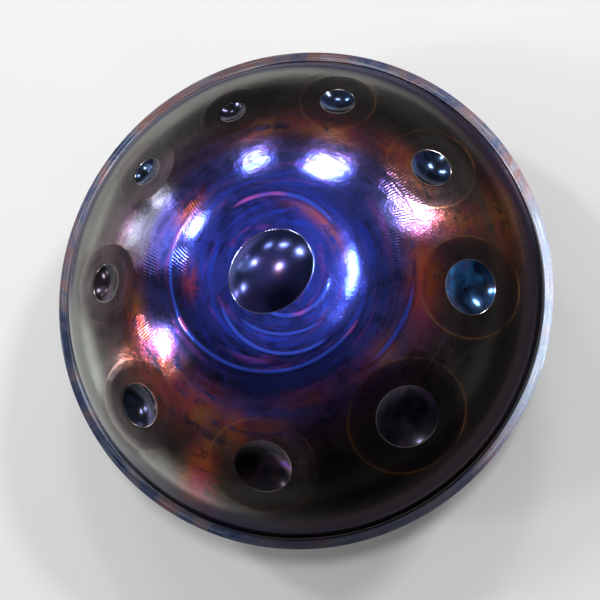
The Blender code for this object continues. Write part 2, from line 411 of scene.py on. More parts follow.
def plan_of_field(index, u, v):
    """Plan points whose place in the field's own plane is (u, v), found in six corrections."""
    centre, across, uphill, _ = FIELD_FRAMES[index]
    x = centre[0] + across[0] * u + uphill[0] * v
    y = centre[1] + across[1] * u + uphill[1] * v
    for _ in range(6):
        offset = plain_top(x, y) - centre
        du, dv = u - offset @ across, v - offset @ uphill
        x = x + across[0] * du + uphill[0] * dv
        y = y + across[1] * du + uphill[1] * dv
    return x, y


def axis_rings():
    """Rings of plan points about the axis, out to the rim."""
    rings = []
    radius = MESH_START
    while radius < MESH_END:
        rings.append(ring(radius, MESH_SPACING, len(rings) * 0.5))
        ringed = RINGED_BAND[0] < radius < RINGED_BAND[1]
        radius += RINGED_STEP if ringed else MESH_STEP
    for radius_mm in FOOT_RADII_MM:
        rings.append(ring(radius_mm * MM, FOOT_SPACING, radius_mm))
    rings.append(ring(RIM_RADIUS, FOOT_SPACING))
    return np.concatenate(rings)


def ding_rings():
    """Oval rings of plan points on and round the Ding, as a list."""
    cos, sin = math.cos(DING_TURN), math.sin(DING_TURN)
    rings = []
    for radius in edge_distances(DING_MEAN, DING_STEP, DING_REACH):
        circle = ring(radius, DING_SPACING, radius * PATCH_TWIST)
        along = circle[:, 0] * DING_HALF_LENGTH / DING_MEAN
        side = circle[:, 1] * DING_HALF_WIDTH / DING_MEAN
        rings.append(np.stack([along * cos - side * sin, along * sin + side * cos], axis=-1))
    return rings


def dimple_rings(index):
    """Rings of plan points on and round a dimple, and its middle, as a list."""
    rings = []
    for radius in edge_distances(TONE_FIELDS[index].dimple_radius, DIMPLE_STEP, DIMPLE_REACH):
        circle = ring(radius, DIMPLE_SPACING, radius * PATCH_TWIST)
        rings.append(np.stack(plan_of_field(index, circle[:, 0], circle[:, 1]), axis=-1))
    rings.append(np.stack(plan_of_field(index, np.zeros(1), np.zeros(1)), axis=-1))
    return rings


def top_plan():
    """Plan points of the top shell: rings about the axis, the Ding and each dimple."""
    background = axis_rings()
    surface = plain_top(background[:, 0], background[:, 1])
    keep = ding_distance(background[:, 0], background[:, 1]) > DING_MEAN + DING_CLEARANCE
    patches = ding_rings()
    for index, (centre, across, uphill, _) in enumerate(FIELD_FRAMES):
        offset = surface - centre
        clear = TONE_FIELDS[index].dimple_radius + DIMPLE_CLEARANCE
        keep &= np.hypot(offset @ across, offset @ uphill) > clear
        patches += dimple_rings(index)
    patches.append(np.zeros((1, 2)))
    return np.concatenate([background[keep]] + patches)


def triangulated(plan):
    """Delaunay triangles of plan points, wound anticlockwise from above."""
    flat = [Vector(point) for point in (plan / MM).tolist()]
    points, _, faces, *_ = delaunay_2d_cdt(flat, [], [], 0, MERGE_DISTANCE_MM)
    plan = np.array([tuple(point) for point in points]) * MM
    faces = np.array(faces, dtype=np.int64)
    a, b, c = (plan[faces[:, corner]] for corner in range(3))
    ab, ac = b - a, c - a
    area = ab[:, 0] * ac[:, 1] - ab[:, 1] * ac[:, 0]
    real = np.abs(area) > SMALLEST_AREA
    faces, area = faces[real], area[real]
    faces[area < 0] = faces[area < 0][:, ::-1]
    return plan, faces


def rim_loop(faces):
    """Boundary edges of a face set, in the faces' own direction."""
    corners = faces.shape[1]
    edges = np.concatenate([faces[:, (i, (i + 1) % corners)] for i in range(corners)])
    seen = {tuple(edge) for edge in edges.tolist()}
    return np.array([edge for edge in seen if edge[::-1] not in seen])


def sheet_piece(name, points, normals, faces, values):
    """A closed sheet-metal piece from its outer face, with smooth normals and sharp rims."""
    count = len(points)
    corners = faces.shape[1]
    vertices = np.concatenate([points, points - normals * SHEET]).tolist()
    sheet_faces = faces.tolist() + (faces[:, ::-1] + count).tolist()
    rim_faces = [(b, a, a + count, b + count) for a, b in rim_loop(faces).tolist()]
    mesh = bpy.data.meshes.new(name)
    mesh.from_pydata(vertices, [], sheet_faces + rim_faces)
    for key, value in values.items():
        layer = mesh.attributes.new(key, "FLOAT", "POINT")
        layer.data.foreach_set("value", np.concatenate([value, value]).astype(np.float32))
    smooth = np.ones(len(mesh.polygons), dtype=bool)
    smooth[len(sheet_faces):] = False
    mesh.polygons.foreach_set("use_smooth", smooth)
    corner_vertex = np.empty(len(mesh.loops), dtype=np.int32)
    mesh.loops.foreach_get("vertex_index", corner_vertex)
    corner_normals = np.concatenate([normals, -normals])[corner_vertex]
    corner_normals[corners * len(sheet_faces):] = 0.0
    mesh.normals_split_custom_set(corner_normals.tolist())
    piece = bpy.data.objects.new(name, mesh)
    bpy.context.scene.collection.objects.link(piece)
    return piece


def fan(turn):
    """Uneven wedges round a dimple, about -0.2 to 0.6, darkest on the uphill side."""
    wedges = sum(np.cos(count * turn + phase) / count for count, phase in FAN_WAVES)
    return 0.20 + 0.13 * wedges - 0.12 * np.sin(turn)


def nearest_values(points):
    """Nearest tone field: distances to its outline and its dimple's rim in millimetres, how blue
    the dimple is, and the fan of colour in it."""
    field_edge = np.full(len(points), FAR_AWAY)
    dimple_edge = np.full(len(points), FAR_AWAY)
    dimple_blue = np.zeros(len(points))
    dimple_fan = np.zeros(len(points))
    for field, (centre, across, uphill, normal) in zip(TONE_FIELDS, FIELD_FRAMES):
        offset = points - centre
        u, v = offset @ across, offset @ uphill
        near = np.abs(offset @ normal) < FIELD_REACH
        mean = math.sqrt(field.half_length * field.half_width)
        edge = (np.hypot(u / field.half_width, v / field.half_length) - 1) * mean / MM
        edge = np.where(near, edge, FAR_AWAY)
        dimple_blue = np.where(edge < field_edge, field.blue, dimple_blue)
        dimple_fan = np.where(edge < field_edge, fan(np.arctan2(v, u)), dimple_fan)
        field_edge = np.minimum(field_edge, edge)
        rim = np.where(near, (np.hypot(u, v) - field.dimple_radius) / MM, FAR_AWAY)
        dimple_edge = np.minimum(dimple_edge, rim)
    return field_edge, dimple_edge, dimple_blue, dimple_fan


def patch_place(x, y, direction, radius):
    """Distance round and outwards from a place on the shell, in metres."""
    angle = math.radians(direction)
    turn = (np.arctan2(y, x) - angle + math.pi) % (2 * math.pi) - math.pi
    return turn * radius, np.hypot(x, y) - radius


def warmth(x, y):
    """How far the oxide has gone warm, 0 to 1."""
    total = np.zeros_like(x)
    for direction, radius, half_length, half_width, strength in WARM_PATCHES:
        along, out = patch_place(x, y, direction, radius * MM)
        oval = (along / (half_length * MM))**2 + (out / (half_width * MM))**2
        total = np.maximum(total, strength * np.exp(-0.7 * oval))
    return total


def strokes(x, y):
    """Phase of the tool strokes and how strong they are, 0 to 1; weak where patches overlap."""
    phase, strength, second = np.zeros_like(x), np.zeros_like(x), np.zeros_like(x)
    for direction, radius, half_length, half_width, distance, lean in STROKE_PATCHES:
        along, out = patch_place(x, y, direction, radius * MM)
        patch = np.exp(-((along / (half_length * MM))**4 + (out / (half_width * MM))**4))
        lean_angle = math.radians(lean)
        across = along * math.cos(lean_angle) + out * math.sin(lean_angle)
        phase = np.where(patch > strength, across * 2 * math.pi / (distance * MM), phase)
        second = np.maximum(second, np.minimum(strength, patch))
        strength = np.maximum(strength, patch)
    return phase, smooth_step(0.03, 0.6, strength - second)


def make_top_shell():
    """The top shell as one finely shaped sheet."""
    plan, faces = triangulated(top_plan())
    x, y = plan[:, 0], plan[:, 1]
    points = top_face(x, y)
    normals = normals_of(top_face, x, y, NORMAL_STEP)
    field_edge, dimple_edge, dimple_blue, dimple_fan = nearest_values(plain_top(x, y))
    phase, strength = strokes(x, y)
    values = {
        "field_edge": field_edge,
        "dimple_edge": dimple_edge,
        "dimple_blue": dimple_blue,
        "dimple_fan": dimple_fan,
        "ding_edge": (ding_distance(x, y) - DING_MEAN) / MM,
        "ring_crest": np.max([ring_profile(x, y, arc) for arc in RINGS], axis=0),
        "warmth": warmth(x, y),
        "stroke_phase": phase,
        "stroke_strength": strength,
    }
    return sheet_piece("top_shell_sheet", points, normals, faces, values)


def bottom_profile():
    """Outer face of the bottom shell from its flange edge to the top of the port's neck."""
    flange = [(radius, 0.0) for radius in (RIM_RADIUS,) + FLANGE_RADII]
    fillet_radii = np.linspace(*FILLET_RADII_MM, 14) * MM
    slope_radii = np.linspace(SLOPE_START_MM, BOTTOM_DOME_START / MM, 66) * MM
    dome_radii = np.concatenate([fillet_radii, slope_radii])
    dome = [(radius, float(dome_height(radius))) for radius in dome_radii]
    depth = BOTTOM_FLANGE_Z
    rest_radii = (REST_RING_RADIUS, REST_RING_RADIUS - 4 * MM, REST_RING_RADIUS - 12 * MM,
                  PORT_RADIUS + PORT_ROLL + 2 * MM)
    rest_ring = [(radius, depth) for radius in rest_radii]
    roll = []
    for angle in np.linspace(0, math.pi / 2, 12):
        inward = PORT_ROLL * (1 - math.sin(angle))
        rise = PORT_ROLL * (1 - math.cos(angle))
        roll.append((PORT_RADIUS + inward, depth - rise))
    neck_heights = np.linspace(PORT_ROLL, PORT_NECK_HEIGHT, 6)[1:]
    neck = [(PORT_RADIUS, depth - height) for height in neck_heights]
    return flange + dome + rest_ring + roll + neck


def make_bottom_shell():
    """The bottom shell: one turned sheet, from its flange to the port's neck."""
    profile = np.array(bottom_profile())
    angle = np.arange(BOTTOM_STEPS) * 2 * math.pi / BOTTOM_STEPS
    radius, height = profile[:, 0], profile[:, 1]
    direction = np.gradient(profile, axis=0)
    direction /= np.linalg.norm(direction, axis=1, keepdims=True)
    cos, sin = np.cos(angle)[:, None], np.sin(angle)[:, None]
    x, y = cos * radius, sin * radius
    z = np.broadcast_to(BOTTOM_FLANGE_Z - height, x.shape)
    points = np.stack([x, y, z], axis=-1).reshape(-1, 3)
    outward = direction[:, 1]
    up = np.broadcast_to(direction[:, 0], x.shape)
    normals = np.stack([cos * outward, sin * outward, up], axis=-1).reshape(-1, 3)
    rows = len(profile)
    column = np.arange(BOTTOM_STEPS)[:, None]
    row = np.arange(rows - 1)[None, :]
    here = column * rows + row
    there = (column + 1) % BOTTOM_STEPS * rows + row
    quads = np.stack([here, here + 1, there + 1, there], axis=-1).reshape(-1, 4)
    return sheet_piece("bottom_shell_sheet", points, normals, quads, {})


# ---------------------------------------- materials

# Radius in millimetres that the heat colours are laid out over
HEAT_SPAN = 265
# Where the flange's look begins, in millimetres from the axis
FLANGE_START = (254.6, 255.6)
# Where the look of the Ding and the dimples begins, in millimetres outside their edges
PRESSED_START = (0.3, -0.8)
FIELD_BROWN = (0.045, 0.028, 0.032)

# Heights of the fine relief
TOP_GRAIN = 0.06 * MM
TOP_PEEL = 0.07 * MM
STROKE_HEIGHT = 0.034 * MM
BOTTOM_GRAIN = 0.08 * MM
BOTTOM_PEEL = 0.10 * MM
ADHESIVE_GRAIN = 0.2 * MM


def direction_vector(azimuth, elevation=0.0):
    """A unit vector from an azimuth, anticlockwise from +X, and an elevation, in degrees."""
    a, e = math.radians(azimuth), math.radians(elevation)
    return Vector((math.cos(a) * math.cos(e), math.sin(a) * math.cos(e), math.sin(e)))


class Nodes:
    """Short calls for building the node tree of a material or a world."""

    def __init__(self, owner, place):
        owner.use_nodes = True
        self.tree = owner.node_tree
        self.place = self.add("ShaderNodeTexCoord").outputs[place]
        self.shader = self.tree.nodes.get("Principled BSDF")

    def add(self, kind, **settings):
        """A new node with its settings."""
        node = self.tree.nodes.new(kind)
        for key, value in settings.items():
            setattr(node, key, value)
        return node

    def feed(self, socket, value):
        """Link an output, or set a constant, on a socket."""
        if isinstance(value, bpy.types.NodeSocket):
            self.tree.links.new(value, socket)
        else:
            socket.default_value = value

    def look(self, name, value):
        """Feed one of the shader's own inputs."""
        self.feed(self.shader.inputs[name], value)

    def math(self, operation, first, second=0.0, third=0.0):
        """A math node's output."""
        node = self.add("ShaderNodeMath", operation=operation)
        for socket, value in zip(node.inputs, (first, second, third)):
            self.feed(socket, value)
        return node.outputs[0]

    def times(self, first, second):
        """A product."""
        return self.math("MULTIPLY", first, second)

    def plus(self, first, second):
        """A sum."""
        return self.math("ADD", first, second)

    def linear(self, value, factor, offset):
        """A value times a factor, plus an offset."""
        return self.math("MULTIPLY_ADD", value, factor, offset)

    def rest(self, value):
        """What is left of 1."""
        return self.math("SUBTRACT", 1.0, value)

    def vector(self, operation, first, second=(0, 0, 0)):
        """A vector math node's output; a number where the operation gives one."""
        node = self.add("ShaderNodeVectorMath", operation=operation)
        self.feed(node.inputs[0], first)
        self.feed(node.inputs[1], second)
        return node.outputs["Value" if operation in ("LENGTH", "DOT_PRODUCT") else "Vector"]

    def facing(self, direction, azimuth, elevation=0.0):
        """Cosine between a unit direction and an azimuth and elevation in degrees."""
        return self.vector("DOT_PRODUCT", direction, direction_vector(azimuth, elevation))

    def step(self, value, low, high, share=1.0):
        """0 below low and share above high, smooth between; reversed if high is below low."""
        node = self.add("ShaderNodeMapRange", interpolation_type="SMOOTHSTEP")
        flip = high < low
        self.feed(node.inputs["Value"], value)
        self.feed(node.inputs["From Min"], min(low, high))
        self.feed(node.inputs["From Max"], max(low, high))
        self.feed(node.inputs["To Min"], share if flip else 0.0)
        self.feed(node.inputs["To Max"], 0.0 if flip else share)
        return node.outputs["Result"]

    def near(self, value, middle, outer, inner, share=1.0):
        """Share within inner of a middle value, 0 beyond outer of it, smooth between."""
        distance = self.math("ABSOLUTE", self.math("SUBTRACT", value, middle))
        return self.step(distance, outer, inner, share)

    def noise(self, scale, detail=2.0, rough=0.5, place=None, twist=0.0):
        """A noise texture's value, scale in features per metre."""
        node = self.add("ShaderNodeTexNoise")
        self.feed(node.inputs["Vector"], self.place if place is None else place)
        self.feed(node.inputs["Scale"], scale)
        self.feed(node.inputs["Detail"], detail)
        self.feed(node.inputs["Roughness"], rough)
        self.feed(node.inputs["Distortion"], twist)
        return node.outputs["Fac"]

    def ramp(self, value, stops):
        """A colour ramp from (position, colour) stops."""
        node = self.add("ShaderNodeValToRGB")
        elements = node.color_ramp.elements
        for _ in range(len(stops) - 2):
            elements.new(0.5)
        for element, (position, color) in zip(elements, stops):
            element.position = position
            element.color = (*color, 1.0)
        self.feed(node.inputs["Fac"], value)
        return node.outputs["Color"]

    def mix(self, share, first, second):
        """A colour mix."""
        node = self.add("ShaderNodeMix", data_type="RGBA")
        self.feed(node.inputs["Factor"], share)
        for socket, value in ((node.inputs["A"], first), (node.inputs["B"], second)):
            self.feed(socket, (*value, 1.0) if isinstance(value, tuple) else value)
        return node.outputs["Result"]

    def dim(self, color, share):
        """A colour times a number."""
        return self.mix(share, (0.0, 0.0, 0.0), color)

    def mesh_value(self, name):
        """A value stored on the mesh's points."""
        return self.add("ShaderNodeAttribute", attribute_name=name).outputs["Fac"]

    def bump(self, height):
        """Bump from a height in metres, onto the shader's normal."""
        node = self.add("ShaderNodeBump")
        self.feed(node.inputs["Height"], height)
        node.inputs["Distance"].default_value = 1.0
        self.look("Normal", node.outputs["Normal"])

    def around(self, middle=(0.0, 0.0, 0.0)):
        """Distance in plan from a middle, the pan's axis by default, in millimetres, and the
        direction outwards from it."""
        offset = self.vector("SUBTRACT", self.place, middle)
        flat = self.vector("MULTIPLY", offset, (1000, 1000, 0))
        return self.vector("LENGTH", flat), self.vector("NORMALIZE", flat)

    def streaks(self, radius, outward, length, width):
        """Noise drawn out round the axis: streak length in radians, width in millimetres."""
        node = self.add("ShaderNodeCombineXYZ")
        self.feed(node.inputs["Z"], self.times(radius, 1 / width))
        turns = self.vector("MULTIPLY", outward, (1 / length, 1 / length, 0))
        return self.noise(1.0, 3.0, 0.55, self.vector("ADD", turns, node.outputs[0]))


def new_metal(name):
    """A bare metal material and its nodes."""
    material = bpy.data.materials.new(name)
    nodes = Nodes(material, "Object")
    nodes.look("Metallic", 1.0)
    return material, nodes


def broad_streaks(nodes, radius, outward):
    """Broad streaks round the axis that the heat colours follow."""
    return nodes.streaks(radius, outward, 0.7, 9.0)


def fine_brushing(nodes, radius, outward):
    """Fine brushed marks round the axis, 0 to 1."""
    return nodes.step(nodes.streaks(radius, outward, 0.22, 2.6), 0.30, 0.70)


def heat_place(nodes, radius, streaks):
    """Place along the heat colours: the distance from the axis, drifting in clouds and streaks."""
    drift = nodes.linear(nodes.noise(5.0, 3.0, 0.6, twist=0.6), 44.0, -22.0)
    streak_drift = nodes.linear(streaks, 30.0, -15.0)
    wandering = nodes.plus(nodes.plus(radius, drift), streak_drift)
    return nodes.times(wandering, 1 / HEAT_SPAN)


def dome_heat(nodes, radius, outward, streaks):
    """Heat colours of the dome, from blue at the axis through violet to plum and brown."""
    heat = nodes.ramp(heat_place(nodes, radius, streaks), (
        (0.15, (0.028, 0.043, 0.36)), (0.30, (0.030, 0.046, 0.40)), (0.42, (0.050, 0.066, 0.40)),
        (0.48, (0.085, 0.078, 0.36)), (0.53, (0.110, 0.068, 0.22)), (0.58, (0.100, 0.054, 0.105)),
        (0.66, (0.072, 0.052, 0.058)), (0.76, (0.046, 0.042, 0.041))))
    cloud = nodes.step(nodes.noise(30.0, 4.0, 0.6, twist=1.0), 0.30, 0.70)
    level = nodes.linear(cloud, 0.85, 0.20)
    return nodes.dim(heat, nodes.linear(fine_brushing(nodes, radius, outward), 0.35, level))


def with_painted_light_and_blue_streaks(nodes, color, radius, outward):
    """A painted light: a brighter blue flush on the lit side of the Ding, and vivid blue streaks
    round it.
    """
    # Painted light: the side of the Ding towards the lamps is flushed brighter blue.
    lit_side = nodes.step(nodes.facing(outward, -12), 0.2, 0.9, 0.40)
    painted_light_flush = nodes.times(lit_side, nodes.step(radius, 92, 74))
    color = nodes.mix(painted_light_flush, color, (0.040, 0.080, 0.80))
    vivid = nodes.step(nodes.streaks(*nodes.around(STREAK_MIDDLE), 0.65, 6.5), 0.48, 0.70, 0.75)
    vivid = nodes.times(vivid, nodes.step(radius, 122, 92))
    return nodes.mix(vivid, color, (0.030, 0.075, 0.85))


def with_painted_dome_shade(nodes, color, radius, outward):
    """Painted shade: a darker stretch of the dome, between the Ding and the fields on the dim side.
    """
    # Painted shade: the dome darkened on the side away from the light.
    dome_shade_side = nodes.step(nodes.facing(outward, -138), 0.05, 0.90, 0.55)
    dome_painted_shade = nodes.times(dome_shade_side, nodes.step(radius, 58, 84))
    dome_painted_shade = nodes.times(dome_painted_shade, nodes.step(radius, 140, 115))
    return nodes.dim(color, nodes.rest(dome_painted_shade))


def with_violet_streaks(nodes, color, radius, streaks):
    """Violet streaks that fade out down the dome."""
    violet = nodes.times(nodes.step(streaks, 0.55, 0.72, 0.5), nodes.step(radius, 150, 90))
    return nodes.mix(violet, color, (0.30, 0.07, 0.50))


def with_painted_reflection_patch(nodes, color, radius, outward):
    """A painted reflection of a soft light: a pale bluish patch on the shoulder."""
    # Painted reflection: a pale patch where a soft light would show on the shoulder.
    side = nodes.step(nodes.facing(outward, 136), 0.93, 0.985)
    share = nodes.times(side, nodes.near(radius, 148.0, 22, 5, 0.55))
    return nodes.mix(share, color, (0.15, 0.18, 0.22))


def with_wall(nodes, color, radius, outward):
    """The outer wall: pale steel, with a painted reflection on one side, and on the side away from
    it painted black shade above a painted lighter foot.
    """
    wandering = nodes.linear(nodes.noise(7.0, 3.0, 0.6), 16.0, nodes.plus(radius, -8.0))
    wall = nodes.ramp(nodes.times(wandering, 1 / HEAT_SPAN), (
        (0.74, (0.056, 0.052, 0.046)), (0.81, (0.150, 0.146, 0.128)),
        (0.865, (0.145, 0.145, 0.136)), (0.895, (0.060, 0.062, 0.076)),
        (0.95, (0.040, 0.039, 0.050))))
    stained = nodes.linear(nodes.noise(24.0, 4.0, 0.6, twist=0.5), 0.9, 0.50)
    color = nodes.mix(nodes.step(wandering, 190, 212), color, nodes.dim(wall, stained))
    # Painted reflection: a pale band on the side towards the low glow.
    reflection_side = nodes.step(nodes.facing(outward, -168), 0.74, 0.98)
    reach = nodes.linear(nodes.facing(outward, 170), 75.0, nodes.plus(wandering, -75.0))
    wall_painted_reflection = nodes.times(nodes.step(reach, 200, 222), reflection_side)
    color = nodes.mix(wall_painted_reflection, color, (0.20, 0.21, 0.19))
    side = nodes.facing(outward, 140)
    # Painted light: a lighter foot on the side away from the glow.
    foot = nodes.mix(nodes.step(side, 0.10, -0.60), color, (0.15, 0.12, 0.115))
    color = nodes.mix(nodes.step(radius, 246, 251), color, foot)
    # Painted shade: the wall near black on the side away from the glow, above its foot.
    wall_painted_shade = nodes.times(nodes.step(wandering, 198, 222), nodes.step(side, 0.30, -0.60, 0.92))
    wall_painted_shade = nodes.times(wall_painted_shade, nodes.step(radius, 252, 246))
    return nodes.mix(wall_painted_shade, color, (0.018, 0.011, 0.011))


def with_warm_patches(nodes, color, streaks):
    """Orange and red oxide over the heat colours, in broken streaks."""
    broken = nodes.plus(nodes.noise(55.0, 4.0, 0.65, twist=1.2), streaks)
    share = nodes.times(nodes.mesh_value("warmth"), nodes.step(broken, 0.72, 1.02))
    ember = nodes.ramp(nodes.noise(24.0, 2.0), (
        (0.35, (0.62, 0.07, 0.15)), (0.50, (0.76, 0.14, 0.05)), (0.65, (0.74, 0.25, 0.06))))
    return nodes.mix(share, color, ember)


def with_rings(nodes, color):
    """Hammered rings: brighter blue, here and there pink, crests between darker flanks."""
    crest = nodes.mesh_value("ring_crest")
    flank = nodes.times(nodes.step(crest, 0.01, 0.20), nodes.step(crest, 0.70, 0.30, 0.45))
    color = nodes.mix(flank, color, (0.016, 0.018, 0.120))
    tint = nodes.ramp(nodes.noise(22.0, 2.0), (
        (0.56, (0.06, 0.13, 1.00)), (0.66, (0.80, 0.14, 0.74))))
    tint_and_highlight_breaks = nodes.step(nodes.noise(14.0, 2.0), 0.15, 0.42)
    return nodes.mix(nodes.times(nodes.step(crest, 0.30, 0.95), tint_and_highlight_breaks), color, tint)


def with_fields(nodes, color, outward):
    """Tone fields: slightly browner faces, thin golden outlines with gaps, faint on one side."""
    edge = nodes.mesh_value("field_edge")
    gilded = nodes.step(nodes.facing(outward, -40), -0.65, 0.25)
    face = nodes.times(nodes.step(edge, 1.0, -5.0, 0.35), nodes.linear(gilded, 0.4, 0.6))
    color = nodes.mix(face, color, FIELD_BROWN)
    shadow = nodes.times(nodes.step(edge, 16.0, -2.0, 0.55), nodes.rest(gilded))
    color = nodes.mix(shadow, color, FIELD_BROWN)
    patchy = nodes.step(nodes.noise(15.0, 3.0, 0.6), 0.40, 0.66)
    halo = nodes.times(nodes.near(edge, 0.0, 6.0, 0.0, 0.14), nodes.times(patchy, gilded))
    color = nodes.mix(halo, color, (0.28, 0.08, 0.03))
    strength = nodes.times(nodes.linear(patchy, 0.58, 0.05), nodes.linear(gilded, 0.80, 0.20))
    outline = nodes.times(nodes.near(edge, 0.0, 1.5, 0.2), strength)
    return nodes.mix(outline, color, (0.46, 0.21, 0.09))


def with_soot_band(nodes, color, radius, outward):
    """A black band of oxide between the shoulder and the wall, past the two highest notes."""
    side = nodes.step(nodes.facing(outward, 102), 0.78, 0.94)
    share = nodes.times(side, nodes.near(radius, 194.0, 22, 8, 0.84))
    return nodes.mix(share, color, (0.012, 0.010, 0.012))


def with_dimples(nodes, color):
    """Dark polished dimples with fans of brown, violet or blue, each with a painted highlight along
    its rim, broken here and there.
    """
    edge = nodes.mesh_value("dimple_edge")
    cloud = nodes.noise(75.0, 3.0, 0.6, twist=0.5)
    tone = nodes.linear(cloud, 0.7, nodes.mesh_value("dimple_fan"))
    plum = nodes.ramp(tone, (
        (0.35, (0.004, 0.004, 0.006)), (0.56, (0.012, 0.009, 0.016)), (0.72, (0.046, 0.022, 0.034)),
        (0.88, (0.075, 0.035, 0.190))))
    blue = nodes.ramp(tone, (
        (0.36, (0.006, 0.010, 0.026)), (0.54, (0.016, 0.055, 0.165)), (0.70, (0.030, 0.165, 0.440)),
        (0.86, (0.170, 0.075, 0.460))))
    inner = nodes.mix(nodes.mesh_value("dimple_blue"), plum, blue)
    color = nodes.mix(nodes.step(edge, *PRESSED_START), color, inner)
    # Painted highlight: a bright line along each dimple's rim, broken here and there.
    tint_and_highlight_breaks = nodes.step(nodes.noise(20.0, 2.0), 0.32, 0.62, 0.40)
    return nodes.mix(nodes.times(nodes.near(edge, 0.0, 0.8, 0.1), tint_and_highlight_breaks), color, (0.42, 0.36, 0.35))


def with_ding(nodes, color):
    """The Ding's dome, plum and slate, with a painted highlight round its foot."""
    edge = nodes.mesh_value("ding_edge")
    dome = nodes.ramp(nodes.noise(18.0, 2.0), (
        (0.36, (0.022, 0.032, 0.120)), (0.52, (0.038, 0.036, 0.170)),
        (0.62, (0.090, 0.044, 0.056))))
    color = nodes.mix(nodes.step(edge, *PRESSED_START), color, dome)
    # Painted highlight: a pale line round the Ding's foot.
    return nodes.mix(nodes.near(edge, 0.0, 0.7, 0.1, 0.4), color, (0.50, 0.52, 0.58))


def with_flange(nodes, color, radius, outward):
    """The flange: mottled slate, mauve and rust with pale scratches, and a painted sheen of paler
    steel on one side.
    """
    mottle = nodes.ramp(nodes.noise(14.0, 5.0, 0.65, twist=0.8), (
        (0.32, (0.010, 0.014, 0.038)), (0.43, (0.030, 0.040, 0.082)), (0.52, (0.085, 0.064, 0.082)),
        (0.60, (0.118, 0.054, 0.048)), (0.69, (0.110, 0.130, 0.160))))
    # Painted sheen: paler, bluer steel on the side where the ceiling lamp reflects.
    painted_sheen = nodes.step(nodes.facing(outward, -25), 0.80, 0.97, 0.7)
    mottle = nodes.mix(painted_sheen, mottle, (0.10, 0.125, 0.165))
    scratch = nodes.streaks(radius, outward, 0.25, 0.9)
    mottle = nodes.mix(nodes.step(scratch, 0.52, 0.68, 0.7), mottle, (0.20, 0.24, 0.28))
    sooty = nodes.step(nodes.facing(outward, -88), 0.80, 0.95, 0.85)
    mottle = nodes.mix(sooty, mottle, (0.014, 0.015, 0.024))
    return nodes.mix(nodes.step(radius, *FLANGE_START), color, mottle)


def top_color(nodes, radius, outward):
    """The colours of the top shell, laid one over another."""
    streaks = broad_streaks(nodes, radius, outward)
    color = dome_heat(nodes, radius, outward, streaks)
    color = with_painted_light_and_blue_streaks(nodes, color, radius, outward)
    color = with_painted_dome_shade(nodes, color, radius, outward)
    color = with_violet_streaks(nodes, color, radius, streaks)
    color = with_painted_reflection_patch(nodes, color, radius, outward)
    color = with_wall(nodes, color, radius, outward)
    color = with_warm_patches(nodes, color, streaks)
    color = with_rings(nodes, color)
    color = with_fields(nodes, color, outward)
    color = with_soot_band(nodes, color, radius, outward)
    color = with_dimples(nodes, color)
    color = with_ding(nodes, color)
    return with_flange(nodes, color, radius, outward)


def fine_relief(nodes, grain_scale, grain_height, peel_height):
    """Height of the steel's grain and of its slight orange peel."""
    grain = nodes.times(nodes.noise(grain_scale, 3.0, 0.6), grain_height)
    peel = nodes.times(nodes.noise(210.0, 2.0, 0.5, twist=0.5), peel_height)
    return nodes.plus(grain, peel)


def stroke_relief(nodes):
    """Height of the short tool strokes."""
    uneven = nodes.times(nodes.noise(160.0, 2.0), 5.0)
    wave = nodes.math("SINE", nodes.plus(nodes.mesh_value("stroke_phase"), uneven))
    return nodes.times(nodes.times(wave, nodes.mesh_value("stroke_strength")), STROKE_HEIGHT)


def top_steel():
    """Polished, hammered steel with the heat colours of the top shell."""
    material, nodes = new_metal("top_steel")
    radius, outward = nodes.around()
    nodes.look("Base Color", top_color(nodes, radius, outward))
    dimple = nodes.step(nodes.mesh_value("dimple_edge"), *PRESSED_START)
    ding = nodes.step(nodes.mesh_value("ding_edge"), *PRESSED_START)
    flange = nodes.step(radius, *FLANGE_START)
    rough = nodes.linear(flange, 0.24, nodes.linear(nodes.noise(260.0, 3.0), 0.09, 0.08))
    nodes.look("Roughness", nodes.linear(ding, 0.07, rough))
    # Painted shade: the wall's reflection tint is darkened all round except on the side with the
    # painted pale reflection.
    dimmed_side = nodes.step(nodes.facing(outward, -175), 0.985, 0.88)
    painted_wall_dimming = nodes.times(nodes.step(radius, 226, 238), dimmed_side)
    painted_wall_dimming = nodes.times(painted_wall_dimming, nodes.rest(flange))
    nodes.look("Specular Tint", nodes.mix(painted_wall_dimming, (1.0, 1.0, 1.0), (0.42, 0.41, 0.50)))
    nodes.look("Coat Weight", 0.16)
    nodes.look("Coat Roughness", 0.24)
    calm = nodes.linear(nodes.math("MAXIMUM", dimple, ding), -0.85, 1.0)
    relief = nodes.times(fine_relief(nodes, 520.0, TOP_GRAIN, TOP_PEEL), calm)
    nodes.bump(nodes.plus(relief, stroke_relief(nodes)))
    return material


def bottom_steel():
    """Satin steel with heat colours round the port."""
    material, nodes = new_metal("bottom_steel")
    radius, outward = nodes.around()
    streaks = broad_streaks(nodes, radius, outward)
    heat = nodes.ramp(heat_place(nodes, radius, streaks), (
        (0.20, (0.045, 0.065, 0.50)), (0.38, (0.050, 0.060, 0.44)), (0.47, (0.120, 0.055, 0.28)),
        (0.56, (0.150, 0.055, 0.130)), (0.68, (0.100, 0.055, 0.055)), (0.80, (0.085, 0.075, 0.070)),
        (0.94, (0.140, 0.138, 0.130))))
    cloud = nodes.step(nodes.noise(22.0, 5.0, 0.65, twist=0.3), 0.25, 0.75)
    level = nodes.linear(cloud, 0.5, 0.45)
    level = nodes.linear(fine_brushing(nodes, radius, outward), 0.30, level)
    color = with_flange(nodes, nodes.dim(heat, level), radius, outward)
    nodes.look("Base Color", color)
    nodes.look("Roughness", nodes.linear(nodes.noise(180.0, 3.0), 0.14, 0.18))
    nodes.bump(fine_relief(nodes, 800.0, BOTTOM_GRAIN, BOTTOM_PEEL))
    return material


